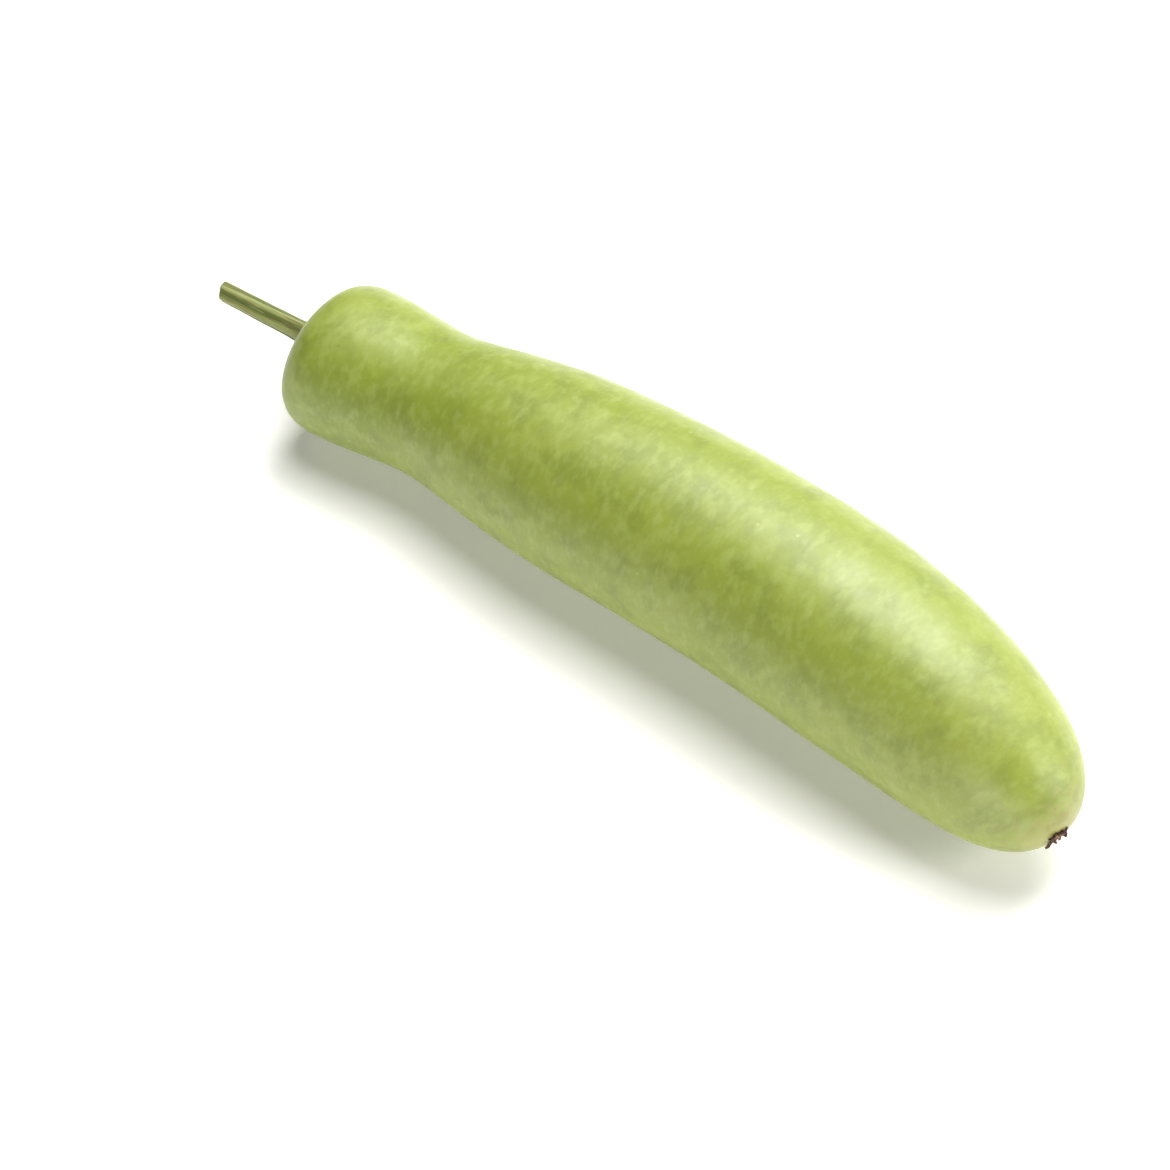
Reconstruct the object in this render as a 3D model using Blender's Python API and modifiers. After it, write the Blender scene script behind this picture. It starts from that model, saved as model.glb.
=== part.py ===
"""Bottle gourd, as picked, lying at rest on its side. Metres, +Z up.

The fruit is one turned profile bent along a spine. The stem end points towards -X and the blossom
end towards +X. The spine bows towards +Y and a little upwards, as a bent fruit lies when its weight
has rolled it to rest, and it touches the ground under its crown and along its belly. The origin is
on the ground, under the fruit's weight.
"""

import math

import bmesh
import bpy
import numpy as np
from mathutils import Matrix, Vector
from mathutils.geometry import interpolate_bezier

GAP = 0.0003  # between pieces that touch

# The spine: one cubic curve through the middle of the fruit
SPINE_STEM_END = Vector((-0.1920, -0.0163, 0.0320))
SPINE_STEM_HANDLE = Vector((-0.0230, 0.0007, 0.0415))
SPINE_BLOSSOM_HANDLE = Vector((0.0860, 0.0130, 0.0478))
SPINE_BLOSSOM_END = Vector((0.1865, -0.0160, 0.0304))
SPINE_POINTS = 241

# The turned profile: one smooth curve pulled by points at a distance along the spine from the stem
# end and a radius. The first and last points are on the spine and the ones next to them make the
# ends blunt; the rest are two for the crown, two for the neck, the shoulder and two for the belly
STEM_END_BLUNTNESS = 0.0160
PROFILE_PULLS = (
    (0.0040, 0.0294),
    (0.0130, 0.0354),
    (0.0525, 0.0319),
    (0.0675, 0.0303),
    (0.1190, 0.0410),
    (0.2040, 0.0418),
    (0.2990, 0.0435),
)
BLOSSOM_END_BLUNTNESS = 0.0290
PROFILE_ORDER = 4
PROFILE_RESOLUTION = 6
FRUIT_SIDES = 54

# The crown is lopsided: its end face leans, and the lean fades out towards the neck
LEAN = 0.105
LEAN_TOWARDS = math.radians(35)
LEAN_LENGTH = 0.063

# The stem: five ribs, cut off nearly square, widening where it joins the fruit
STEM_LENGTH = 0.0535
STEM_END_RADIUS = 0.0041
STEM_BASE_RADIUS = 0.0046
STEM_FLARE_RADIUS = 0.0060
STEM_FLARE_HEIGHT = 0.0070
FLARE_STEPS = ((0.55, 0.15), (0.20, 0.55))  # share of the flare's height, share of its widening
STEM_SEAT_DEPTH = 0.0030
STEM_OFF_CENTRE = 0.0023
STEM_OFF_TOWARDS = math.radians(45)
STEM_LIFT = math.radians(2)
STEM_RINGS = 9
RIBS = 5
RIB_HEIGHT = 0.10
SIDES_PER_RIB = 8
CUT_SLANT = math.tan(math.radians(8))

# The blossom scar: a dry button with the shreds of the flower still on it
SCAR_RADIUS = 0.0050
SCAR_RECESS = 0.0012
SCAR_SECTION = (  # height, share of the button's radius
    (-0.0002, 0),
    (0, 0.45),
    (0.0004, 0.72),
    (0.0002, 0.92),
    (-0.0003, 1),
)
SCAR_SIDES = 22
SHREDS = 11
SHRED_RADIUS = 0.0009
SHRED_TAPERS = (0.35, 0.70)
SHRED_LENGTHS = (0.0022, 0.0042)
SHRED_SUNK = 0.18  # share of a shred's length that is inside the button
SHRED_TILTS = (math.radians(25), math.radians(60))
SHRED_SCATTER = 0.3
SHRED_ROW_SHARES = (0.30, 0.62)  # where the two rows stand, as shares of the button's radius
SHRED_SIDES = 6
SHRED_SEED = 7

SKIN_COLOUR = (0.36, 0.49, 0.12)
STEM_COLOUR = (0.26, 0.29, 0.11)
DRY_FLOWER_COLOUR = (0.10, 0.045, 0.025)

GROUND_CUTTER = Vector((0.60, 0.24, 0.02))
CUTTER_SIDES = 32
SHARP_EDGE = math.radians(42)
TINY = 1e-5


def clear_scene():
    for thing in list(bpy.data.objects):
        bpy.data.objects.remove(thing, do_unlink=True)


def new_collection(name):
    collection = bpy.data.collections.new(name)
    bpy.context.scene.collection.children.link(collection)
    return collection


def new_object(name, mesh, collection, material=None):
    thing = bpy.data.objects.new(name, mesh)
    collection.objects.link(thing)
    if material:
        mesh.materials.clear()
        mesh.materials.append(material)
        mesh.shade_smooth()
        mesh.set_sharp_from_angle(angle=SHARP_EDGE)
    return thing


def new_material(name, colour, roughness):
    material = bpy.data.materials.new(name)
    material.use_nodes = True
    shader = material.node_tree.nodes["Principled BSDF"]
    shader.inputs["Base Color"].default_value = (*colour, 1)
    shader.inputs["Roughness"].default_value = roughness
    shader.inputs["Metallic"].default_value = 0
    material.diffuse_color = (*colour, 1)
    return material


def evaluated_mesh(thing):
    """The object's mesh with its modifiers applied; the object is removed."""
    bpy.context.view_layer.update()
    graph = bpy.context.evaluated_depsgraph_get()
    mesh = bpy.data.meshes.new_from_object(thing.evaluated_get(graph))
    bpy.data.objects.remove(thing, do_unlink=True)
    return mesh


def turned(name, outline, sides, collection):
    """A closed mesh turned about Z from (height, radius) points that run from top to bottom."""
    build = bmesh.new()
    verts = [build.verts.new((radius, 0, height)) for height, radius in outline]
    for upper, lower in zip(verts, verts[1:]):
        build.edges.new((upper, lower))
    mesh = bpy.data.meshes.new(name)
    build.to_mesh(mesh)
    build.free()
    blank = new_object(name + "_outline", mesh, collection)
    screw = blank.modifiers.new("turn", "SCREW")
    screw.axis = "Z"
    screw.steps = sides
    screw.render_steps = sides
    screw.use_merge_vertices = True
    screw.merge_threshold = TINY
    return evaluated_mesh(blank)


def positions(mesh):
    flat = np.empty(len(mesh.vertices) * 3)
    mesh.vertices.foreach_get("co", flat)
    return flat.reshape(-1, 3)


def set_positions(mesh, points):
    mesh.vertices.foreach_set("co", points.ravel())
    mesh.update()


def spine_line():
    """The spine's points, and the distance of each one from the stem end."""
    line = np.array(
        interpolate_bezier(
            SPINE_STEM_END,
            SPINE_STEM_HANDLE,
            SPINE_BLOSSOM_HANDLE,
            SPINE_BLOSSOM_END,
            SPINE_POINTS,
        )
    )
    steps = np.linalg.norm(np.diff(line, axis=0), axis=1)
    return line, np.concatenate([[0], np.cumsum(steps)])


def spine_frames(distances):
    """For each distance along the spine: the centre, and the directions along, sideways and up."""
    line, lengths = spine_line()
    slopes = np.gradient(line, lengths, axis=0)
    centre = np.column_stack([np.interp(distances, lengths, line[:, i]) for i in range(3)])
    along = np.column_stack([np.interp(distances, lengths, slopes[:, i]) for i in range(3)])
    along /= np.linalg.norm(along, axis=1)[:, None]
    side = np.cross((0, 0, 1), along)
    side /= np.linalg.norm(side, axis=1)[:, None]
    up = np.cross(along, side)
    return centre, along, side, up


def fruit_outline(length, collection):
    """(distance from the stem end, radius) points of the profile, from the blossom end back."""
    pulls = [
        (0, 0),
        (0, STEM_END_BLUNTNESS),
        *PROFILE_PULLS,
        (length, BLOSSOM_END_BLUNTNESS),
        (length, 0),
    ]
    curve = bpy.data.curves.new("profile", "CURVE")
    spline = curve.splines.new("NURBS")
    spline.points.add(len(pulls) - 1)
    for point, (distance, radius) in zip(spline.points, reversed(pulls)):
        point.co = (distance, radius, 0, 1)
    spline.order_u = PROFILE_ORDER
    spline.use_endpoint_u = True
    spline.resolution_u = PROFILE_RESOLUTION
    mesh = evaluated_mesh(new_object("profile", curve, collection))
    return [(vert.co.x, vert.co.y) for vert in mesh.vertices]


def bend_along_spine(points):
    """Turned points, with the spine's distance as Z, moved to where they lie on the bent fruit."""
    centre, along, side, up = spine_frames(points[:, 2])
    fade = np.clip(1 - points[:, 2] / LEAN_LENGTH, 0, None) ** 2
    towards = points[:, 0] * math.cos(LEAN_TOWARDS) + points[:, 1] * math.sin(LEAN_TOWARDS)
    lean = LEAN * fade * towards
    return centre + points[:, :1] * side + points[:, 1:2] * up + lean[:, None] * along


def stem_placement():
    """The matrix of the stem: its origin on the fruit's skin, and +Z up the stem."""
    centre, along, side, up = (Vector(values[0]) for values in spine_frames(np.array([0.0])))
    off = side * math.cos(STEM_OFF_TOWARDS) + up * math.sin(STEM_OFF_TOWARDS)
    direction = -along * math.cos(STEM_LIFT) + up * math.sin(STEM_LIFT)
    turn = direction.to_track_quat("Z", "Y").to_matrix().to_4x4()
    return Matrix.Translation(centre + off * STEM_OFF_CENTRE) @ turn


def scar_placement():
    """The matrix of the blossom scar: its origin on the fruit's tip, and +Z away from the fruit."""
    _, lengths = spine_line()
    centre, along, _, _ = (Vector(values[0]) for values in spine_frames(lengths[-1:]))
    turn = along.to_track_quat("Z", "Y").to_matrix().to_4x4()
    return Matrix.Translation(centre) @ turn


def cylinder_cutter(name, radius, depth, placement, collection):
    """A cylinder that reaches from depth below the placement's origin to the same height above it."""
    mesh = bpy.data.meshes.new(name)
    build = bmesh.new()
    bmesh.ops.create_cone(
        build,
        cap_ends=True,
        segments=CUTTER_SIDES,
        radius1=radius,
        radius2=radius,
        depth=2 * depth,
    )
    build.to_mesh(mesh)
    build.free()
    cutter = new_object(name, mesh, collection)
    cutter.matrix_world = placement
    return cutter


def ground_cutter(collection):
    """A slab whose top face is the ground."""
    mesh = bpy.data.meshes.new("ground_cutter")
    build = bmesh.new()
    bmesh.ops.create_cube(build, size=1)
    bmesh.ops.scale(build, vec=GROUND_CUTTER, verts=build.verts)
    bmesh.ops.translate(build, vec=(0, 0, -GROUND_CUTTER.z / 2), verts=build.verts)
    build.to_mesh(mesh)
    build.free()
    return new_object("ground_cutter", mesh, collection)


def cut(thing, cutter):
    cutter.hide_render = True
    cutter.display_type = "WIRE"
    boolean = thing.modifiers.new("cut by " + cutter.name, "BOOLEAN")
    boolean.operation = "DIFFERENCE"
    boolean.solver = "EXACT"
    boolean.object = cutter


def make_fruit(parts, cutters):
    _, lengths = spine_line()
    mesh = turned("fruit", fruit_outline(lengths[-1], parts), FRUIT_SIDES, parts)
    set_positions(mesh, bend_along_spine(positions(mesh)))
    fruit = new_object("fruit", mesh, parts, new_material("gourd_skin", SKIN_COLOUR, 0.45))
    cut(fruit, ground_cutter(cutters))
    seat = cylinder_cutter(
        "stem_seat_cutter", STEM_FLARE_RADIUS + GAP, STEM_SEAT_DEPTH, stem_placement(), cutters
    )
    cut(fruit, seat)
    recess = cylinder_cutter(
        "scar_recess_cutter", SCAR_RADIUS + GAP, SCAR_RECESS, scar_placement(), cutters
    )
    cut(fruit, recess)
    return fruit


def make_stem(parts):
    foot = GAP - STEM_SEAT_DEPTH
    heights = np.linspace(STEM_LENGTH, STEM_FLARE_HEIGHT, STEM_RINGS)
    radii = np.linspace(STEM_END_RADIUS, STEM_BASE_RADIUS, STEM_RINGS)
    widening = STEM_FLARE_RADIUS - STEM_BASE_RADIUS
    flare = [(STEM_FLARE_HEIGHT * up, STEM_BASE_RADIUS + widening * out) for up, out in FLARE_STEPS]
    plug = [(0, STEM_FLARE_RADIUS), (foot, STEM_FLARE_RADIUS), (foot, 0)]
    outline = [(STEM_LENGTH, 0), *zip(heights, radii), *flare, *plug]
    mesh = turned("stem", outline, RIBS * SIDES_PER_RIB, parts)
    points = positions(mesh)
    around = np.arctan2(points[:, 1], points[:, 0])
    fade = np.clip(points[:, 2] / STEM_FLARE_HEIGHT, 0, 1)
    points[:, :2] *= (1 + RIB_HEIGHT * fade * np.cos(RIBS * around))[:, None]
    at_cut = points[:, 2] > STEM_LENGTH - TINY
    points[at_cut, 2] += CUT_SLANT * points[at_cut, 0]
    set_positions(mesh, points)
    stem = new_object("stem", mesh, parts, new_material("stem_green", STEM_COLOUR, 0.6))
    stem.matrix_world = stem_placement()
    return stem


def make_shred(chance, number, collection):
    """One withered strip: a thin cone that leans outwards, with its root sunk in the button."""
    length = chance.uniform(*SHRED_LENGTHS)
    mesh = bpy.data.meshes.new("shred")
    build = bmesh.new()
    bmesh.ops.create_cone(
        build,
        cap_ends=True,
        segments=SHRED_SIDES,
        radius1=SHRED_RADIUS,
        radius2=SHRED_RADIUS * chance.uniform(*SHRED_TAPERS),
        depth=length,
    )
    bmesh.ops.translate(build, vec=(0, 0, length * (0.5 - SHRED_SUNK)), verts=build.verts)
    build.to_mesh(mesh)
    build.free()
    shred = new_object(f"shred_{number}", mesh, collection)
    around = 2 * math.pi * (number + chance.uniform(-SHRED_SCATTER, SHRED_SCATTER)) / SHREDS
    reach = SCAR_RADIUS * SHRED_ROW_SHARES[number % 2]
    tilt = chance.uniform(*SHRED_TILTS)
    place = Matrix.Rotation(around, 4, "Z") @ Matrix.Translation((reach, 0, 0))
    shred.matrix_world = place @ Matrix.Rotation(tilt, 4, "Y")
    return shred


def make_blossom_scar(parts):
    foot = GAP - SCAR_RECESS
    button = [(height, SCAR_RADIUS * share) for height, share in SCAR_SECTION]
    outline = [*button, (foot, SCAR_RADIUS), (foot, 0)]
    mesh = turned("blossom_scar", outline, SCAR_SIDES, parts)
    scar = new_object("blossom_scar", mesh, parts)
    shreds = new_collection("shreds")
    chance = np.random.default_rng(SHRED_SEED)
    for number in range(SHREDS):
        make_shred(chance, number, shreds)
    union = scar.modifiers.new("join shreds", "BOOLEAN")
    union.operation = "UNION"
    union.operand_type = "COLLECTION"
    union.collection = shreds
    union.solver = "EXACT"
    mesh = evaluated_mesh(scar)
    for shred in list(shreds.objects):
        bpy.data.objects.remove(shred, do_unlink=True)
    bpy.data.collections.remove(shreds)
    dry = new_material("dry_flower", DRY_FLOWER_COLOUR, 0.85)
    scar = new_object("blossom_scar", mesh, parts, dry)
    scar.matrix_world = scar_placement()
    return scar


def main():
    clear_scene()
    parts = new_collection("bottle_gourd")
    cutters = new_collection("cutters")
    rest = bpy.data.objects.new("rest", None)
    parts.objects.link(rest)
    for piece in (make_fruit(parts, cutters), make_stem(parts), make_blossom_scar(parts)):
        piece.parent = rest


main()
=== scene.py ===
"""The looks of a bottle gourd, as picked, lying on its side: skin, stem, dry flower, floor and light.

The fruit and its stem are each one turned outline that Geometry Nodes wrap round a line. Their sizes
are in metres, and their places are those of the solids that they stand for.
"""

import math

import bmesh
import bpy
import numpy as np
from mathutils import Matrix, Vector, noise


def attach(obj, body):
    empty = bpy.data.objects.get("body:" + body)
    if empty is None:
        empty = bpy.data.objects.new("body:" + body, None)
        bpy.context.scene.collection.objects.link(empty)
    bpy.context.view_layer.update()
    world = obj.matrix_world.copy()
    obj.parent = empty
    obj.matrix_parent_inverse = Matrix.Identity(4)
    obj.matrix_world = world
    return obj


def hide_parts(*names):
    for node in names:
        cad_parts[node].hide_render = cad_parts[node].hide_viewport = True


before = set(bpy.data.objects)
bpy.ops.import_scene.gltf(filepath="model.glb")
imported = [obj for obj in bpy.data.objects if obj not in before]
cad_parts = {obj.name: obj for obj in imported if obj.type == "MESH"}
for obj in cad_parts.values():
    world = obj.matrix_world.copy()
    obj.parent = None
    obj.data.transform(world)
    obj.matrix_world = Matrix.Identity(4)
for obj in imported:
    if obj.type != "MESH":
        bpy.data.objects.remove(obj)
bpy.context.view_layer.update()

MM = 0.001
TINY = 1e-5

# The fruit's spine: one cubic curve from the stem end to the blossom end
SPINE = (
    Vector((-0.1920, -0.0163, 0.0320)),
    Vector((-0.0230, 0.0007, 0.0415)),
    Vector((0.0860, 0.0130, 0.0478)),
    Vector((0.1865, -0.0160, 0.0304)),
)
SPINE_POINTS = 241

# The fruit's outline: distance along the spine from the stem end, and radius. The points pull one
# smooth curve: the blunt stem end, two for the crown, two for the neck, the shoulder and the belly
STEM_END_BLUNTNESS = 0.0160
OUTLINE_PULLS = (
    (0.0040, 0.0294),
    (0.0130, 0.0354),
    (0.0525, 0.0319),
    (0.0675, 0.0303),
    (0.1190, 0.0410),
    (0.2040, 0.0418),
    (0.2990, 0.0435),
)
BLOSSOM_END_BLUNTNESS = 0.0290
OUTLINE_ORDER = 4
OUTLINE_STEPS = 40
FRUIT_RINGS = 320
FRUIT_SIDES = 220

# The crown is lopsided: its end face leans, and the lean fades out towards the neck
LEAN = 0.105
LEAN_TOWARDS = math.radians(35)
LEAN_LENGTH = 0.063

# Where the fruit rests, its skin eases into the flat over this height
GROUND_EASE = 0.5 * MM

# Round the stem the skin rises in a low collar, with faint folds that run outwards from it
COLLAR_HEIGHT = 1.1 * MM
COLLAR_WIDTH = 7.0 * MM
FOLDS = 10
FOLD_DEPTH = 0.35 * MM
FOLD_REACH = 11.0 * MM
FOLD_SPREAD = 5.0 * MM

# The skin's unevenness: height and width of the broad swellings and of the small dimples, which fade
# out where the fruit is thinner than a radius
SWELL = 1.4 * MM
SWELL_WIDTH = 45 * MM
DIMPLE = 0.25 * MM
DIMPLE_WIDTH = 8 * MM
EVEN_BELOW_RADIUS = 20 * MM
FRUIT_SEED = 3.0

# The skin's green changes along the fruit: the distance from the stem end where the change starts, the
# one where it is full, its strength and its colour
SKIN_GREEN = "#879532"
ZONES = (
    (110 * MM, 25 * MM, 0.45, "#7b8f26"),
    (290 * MM, 385 * MM, 0.55, "#a0a450"),
)

# Mottling over the green: what shifts a layer's pattern from the others', the patches' width round the
# fruit and length along it, the noise value where they start, the one where they are full, their
# strength and their colour. The finer patches run across the fruit
MOTTLE = (
    (0, 45 * MM, 63 * MM, 0.35, 0.65, 1.00, "#8f9c3d"),
    (1, 14 * MM, 12.6 * MM, 0.48, 0.66, 0.46, "#72802c"),
    (2, 7 * MM, 4.9 * MM, 0.50, 0.70, 0.38, "#a6b25f"),
    (3, 4.2 * MM, 2.31 * MM, 0.50, 0.70, 0.15, "#b3be76"),
    (4, 3.4 * MM, 1.87 * MM, 0.52, 0.70, 0.12, "#697727"),
)

# Tan rings: the middle, the radius where the colour is gone, the one where it is full, strength, colour
TAN_RINGS = (
    ("Blossom end", 26 * MM, 4 * MM, 0.65, "#9b9553"),
    ("Stem foot", 17 * MM, 5 * MM, 0.45, "#788441"),
)

# Tan blotches on the tail: the place before the fruit is bent (across, up, along) and the radius
BLOTCHES = (
    (Vector((0.6, 10.4, 379.5)) * MM, 3.6 * MM),
    (Vector((-5.4, 8.9, 379.5)) * MM, 1.8 * MM),
    (Vector((-3.2, 9.7, 380.0)) * MM, 1.5 * MM),
    (Vector((8.7, 13.5, 376.1)) * MM, 3.2 * MM),
    (Vector((15.0, -12.0, 370.0)) * MM, 4.0 * MM),
    (Vector((-16.0, -14.0, 368.0)) * MM, 2.4 * MM),
)
BLOTCH_COLOUR = "#8a873f"
BLOTCH_STRENGTH = 0.55
RAGGED_WIDTH = 3 * MM

# Corky specks: how far apart they lie, their radius, strength and colour
SPECK_SPACING = 17 * MM
SPECK_RADIUS = 1.0 * MM
SPECK_STRENGTH = 0.6
SPECK_COLOUR = "#bfbd78"

# The wax is rubbed thin in patches of this width. Pores and down are 0.2 mm wide on the real fruit, and
# are drawn coarser here, so that they show
WAX_PATCH_WIDTH = 13 * MM
PORE_WIDTH = 0.9 * MM
PORE_DEPTH = 0.06 * MM

# The stem: five ribs, a foot that spreads on the fruit, and a slanting cut with a hollow in its pith. The
# slant fades out with a power of the height, and the cut face lies above a share of it
STEM_LENGTH = 52.3 * MM
STEM_END_RADIUS = 4.1 * MM
STEM_BASE_RADIUS = 4.6 * MM
STEM_FLARE = 1.3 * MM
STEM_FLARE_HEIGHT = 4.5 * MM
STEM_FOOT = 1.8 * MM
STEM_FOOT_HEIGHT = 1.2 * MM
STEM_SUNK = 2.0 * MM
STEM_OFF_CENTRE = 2.3 * MM
STEM_OFF_TOWARDS = math.radians(45)
STEM_LIFT = math.radians(2)
STEM_TWIST = math.radians(14)
STEM_SLANT = math.tan(math.radians(-20))
SLANT_FADE = 6.0
STEM_OUTLINE_STEPS = 24
STEM_RINGS = 170
STEM_SIDES = 120
STEM_SEED = 5.0
RIBS = 5
RIB_HEIGHT = 0.075
RIB_TURN = math.radians(50)
RIB_SHARPNESS = 1.4
GROOVE_DEPTH = 0.5 * MM
GROOVE_WIDTH = 0.9 * MM
GROOVE_STRETCH = 10
PITH_RADIUS = 1.6 * MM
PITH_DEPTH = 0.9 * MM
CUT_RIM = 0.9 * MM
CUT_ABOVE_SHARE = 0.9

# The stalk's colours from the furrows to the ribs, with painted shade darkening the furrows and the ribs
# paler: share of the way up a rib, colour
STALK_COLOURS_AND_FURROW_SHADE = (
    (0.00, "#56622a"),
    (0.35, "#6b7635"),
    (0.55, "#868d4b"),
    (1.00, "#979b60"),
)

# Fibres along the stalk, in the mottling's order: dark and pale ones, and longer brown ones. Real ones
# are 0.3 mm wide and wouldn't show, so they are drawn wider
FIBRES = (
    (14, 0.8 * MM, 14 * MM, 0.50, 0.65, 0.45, "#4c5826"),
    (10, 0.7 * MM, 10 * MM, 0.52, 0.68, 0.40, "#a6a873"),
    (22, 1.6 * MM, 22 * MM, 0.52, 0.66, 0.50, "#705a35"),
)

# The stalk takes the skin's green at its foot, and has dried a little at the cut: the height where the
# change starts, the one where it is full, strength, colour
STALK_ENDS = (
    (7 * MM, 0.5 * MM, 0.9, "#7f8c38"),
    (STEM_LENGTH - 2 * MM, STEM_LENGTH, 0.4, "#686438"),
)

# The cut face: its colour, the hollow's and the dried rim's in the same order by distance from the
# middle, and the bundles: how many, their ring's radius, and how far from it they are gone and full
PITH_COLOUR = "#d3d7a6"
PITH_RINGS = (
    (PITH_RADIUS * 1.1, PITH_RADIUS * 0.6, 0.8, "#a79a63"),
    (STEM_END_RADIUS * 0.75, STEM_END_RADIUS * 0.95, 0.7, "#85854a"),
)
BUNDLES = 10
BUNDLE_RING = 2.7 * MM
BUNDLE_GONE = 0.6 * MM
BUNDLE_FULL = 0.3 * MM
BUNDLE_COLOUR = "#aab377"

# The blossom scar: a corky button, and the withered petals that still stand on it
SCAR_RADIUS = 3.3 * MM
SCAR_HEIGHT = 0.7 * MM
SCAR_SUNK = 0.1 * MM
PETALS = 16
PETAL_LENGTH = 3.3 * MM
PETAL_WIDTH = 2.3 * MM
PETAL_THICKNESS = 0.8 * MM
PETAL_CURL = math.radians(75)
PETAL_STEPS = 7
PETAL_SPREAD = 3.9 * MM
PETAL_SEED = 4
GOLDEN_ANGLE = math.radians(137.5)
CRUMPLE = 1.6 * MM
CRUMPLE_WIDTH = 1.7 * MM

# Dead tissue: its dark, middle and pale colours with the noise values where they lie, and its grain
WITHERED_PETAL = ((0.35, "#23110d"), (0.5, "#44251f"), (0.68, "#76503f"))
PETAL_GRAIN = 1.3 * MM
CORKY_SCAR = ((0.35, "#3f2a1c"), (0.5, "#664b31"), (0.68, "#8e744c"))
SCAR_GRAIN = 1.0 * MM

# The camera: where it looks, from which side and height, and how far away
CAMERA_AZIMUTH = math.radians(40.33)
CAMERA_HEIGHT = math.radians(52.03)
CAMERA_DISTANCE = 1.2746
CAMERA_TARGET = Vector((-0.0202, -0.0454, 0.04))
CAMERA_LENS = 100
CAMERA_SENSOR = 36

# The floor's own glow: its strength near the gourd and far from it, and where it changes
FLOOR_SIZE = 30.0
FLOOR_GLOW_NEAR = 0.22
FLOOR_GLOW_FAR = 1.10
FLOOR_GLOW_RISES_FROM = 0.45
FLOOR_GLOW_FULL_AT = 1.30

# Round softboxes: name, direction, distance, diameter, watts, colour
LAMPS = (
    ("high_softbox", (-0.10, 0.22, 0.97), 1.6, 1.1, 24.5, "#ffffff"),
    ("high_back_softbox", (-0.08, 0.56, 0.82), 1.6, 1.2, 19.5, "#ffffff"),
    ("low_back_softbox", (0.20, 0.80, 0.57), 1.6, 1.0, 4, "#ffffff"),
    ("low_front_softbox", (0.45, -0.87, 0.18), 1.6, 0.6, 11, "#fffdf4"),
    ("right_softbox", (0.84, 0.35, 0.42), 1.6, 0.7, 13, "#ffffff"),
)

# The kind of input that a Geometry Nodes tree has for each kind of value
INPUT_KINDS = (
    (int, "Int"),
    (float, "Float"),
    (Vector, "Vector"),
    (bpy.types.Object, "Object"),
    (bpy.types.Material, "Material"),
)


def linear(hex_colour):
    """A #rrggbb colour as linear RGBA."""
    values = [int(hex_colour[i : i + 2], 16) / 255 for i in (1, 3, 5)]
    return (*(v / 12.92 if v < 0.04045 else ((v + 0.055) / 1.055) ** 2.4 for v in values), 1)


def add(tree, kind, links=None, **settings):
    """Adds a node with its settings. An input takes a value, a socket, or a node's first output."""
    node = tree.nodes.new(kind)
    for name, value in settings.items():
        setattr(node, name, value)
    for socket, value in (links or {}).items():
        if isinstance(value, bpy.types.Node):
            value = value.outputs[0]
        if isinstance(value, bpy.types.NodeSocket):
            tree.links.new(value, node.inputs[socket])
        else:
            node.inputs[socket].default_value = value
    return node


def new_object(name, data):
    """An object in the scene that holds the data."""
    thing = bpy.data.objects.new(name, data)
    bpy.context.scene.collection.objects.link(thing)
    return thing


def new_material(name, values):
    """A material with its tree and its shader, whose own sockets take the values."""
    material = bpy.data.materials.new(name)
    material.use_nodes = True
    shader = material.node_tree.nodes["Principled BSDF"]
    for socket, value in values.items():
        shader.inputs[socket].default_value = value
    return material, material.node_tree, shader


def spine_line():
    """The spine's points, and the distance of each one from the stem end."""
    share = np.linspace(0, 1, SPINE_POINTS)[:, None]
    start, first, second, end = (np.array(point) for point in SPINE)
    line = start * (1 - share) ** 3 + end * share**3
    line += 3 * share * (1 - share) * (first * (1 - share) + second * share)
    steps = np.linalg.norm(np.diff(line, axis=0), axis=1)
    return line, np.concatenate([[0], np.cumsum(steps)])


def spine_frame(at_stem_end):
    """An end of the spine: its point, and the directions along, sideways and up."""
    line, _ = spine_line()
    ends = line[:2] if at_stem_end else line[-2:]
    along = Vector(ends[1] - ends[0]).normalized()
    side = Vector((0, 0, 1)).cross(along).normalized()
    return Vector(line[0 if at_stem_end else -1]), along, side, along.cross(side)


def stem_centre():
    """The stem's middle in the fruit's section at the stem end."""
    return Vector((math.cos(STEM_OFF_TOWARDS), math.sin(STEM_OFF_TOWARDS), 0)) * STEM_OFF_CENTRE


def stem_placement():
    """The matrix of the stem: its origin on the fruit's skin, and +Z up the stem."""
    centre, along, side, up = spine_frame(at_stem_end=True)
    off = side * math.cos(STEM_OFF_TOWARDS) + up * math.sin(STEM_OFF_TOWARDS)
    direction = up * math.sin(STEM_LIFT) - along * math.cos(STEM_LIFT)
    turn = direction.to_track_quat("Z", "Y").to_matrix().to_4x4()
    return Matrix.Translation(centre + off * STEM_OFF_CENTRE) @ turn


def scar_placement():
    """The matrix of the blossom scar: its origin on the fruit's tip, and +Z away from the fruit."""
    centre, along, _, _ = spine_frame(at_stem_end=False)
    return Matrix.Translation(centre) @ along.to_track_quat("Z", "Y").to_matrix().to_4x4()


def outline_curve(name, kind, points):
    """A curve object from (distance, radius) points: POLY runs straight between them, and NURBS is one
    smooth curve that they pull, which starts and ends on the first and last."""
    curve = bpy.data.curves.new(name, "CURVE")
    spline = curve.splines.new(kind)
    spline.points.add(len(points) - 1)
    for point, (distance, radius) in zip(spline.points, points):
        point.co = (distance, radius, 0, 1)
    if kind == "NURBS":
        spline.order_u = OUTLINE_ORDER
        spline.use_endpoint_u = True
        spline.resolution_u = OUTLINE_STEPS
    return new_object(name, curve)


def new_tree(name, values):
    """A Geometry Nodes tree with a geometry input and output, and an input named for each value."""
    tree = bpy.data.node_groups.new(name, "GeometryNodeTree")
    tree.interface.new_socket("Geometry", in_out="INPUT", socket_type="NodeSocketGeometry")
    tree.interface.new_socket("Geometry", in_out="OUTPUT", socket_type="NodeSocketGeometry")
    for label, value in values.items():
        kind = next(kind for sort, kind in INPUT_KINDS if isinstance(value, sort))
        tree.interface.new_socket(label, in_out="INPUT", socket_type="NodeSocket" + kind)
    return tree, add(tree, "NodeGroupInput").outputs


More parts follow.
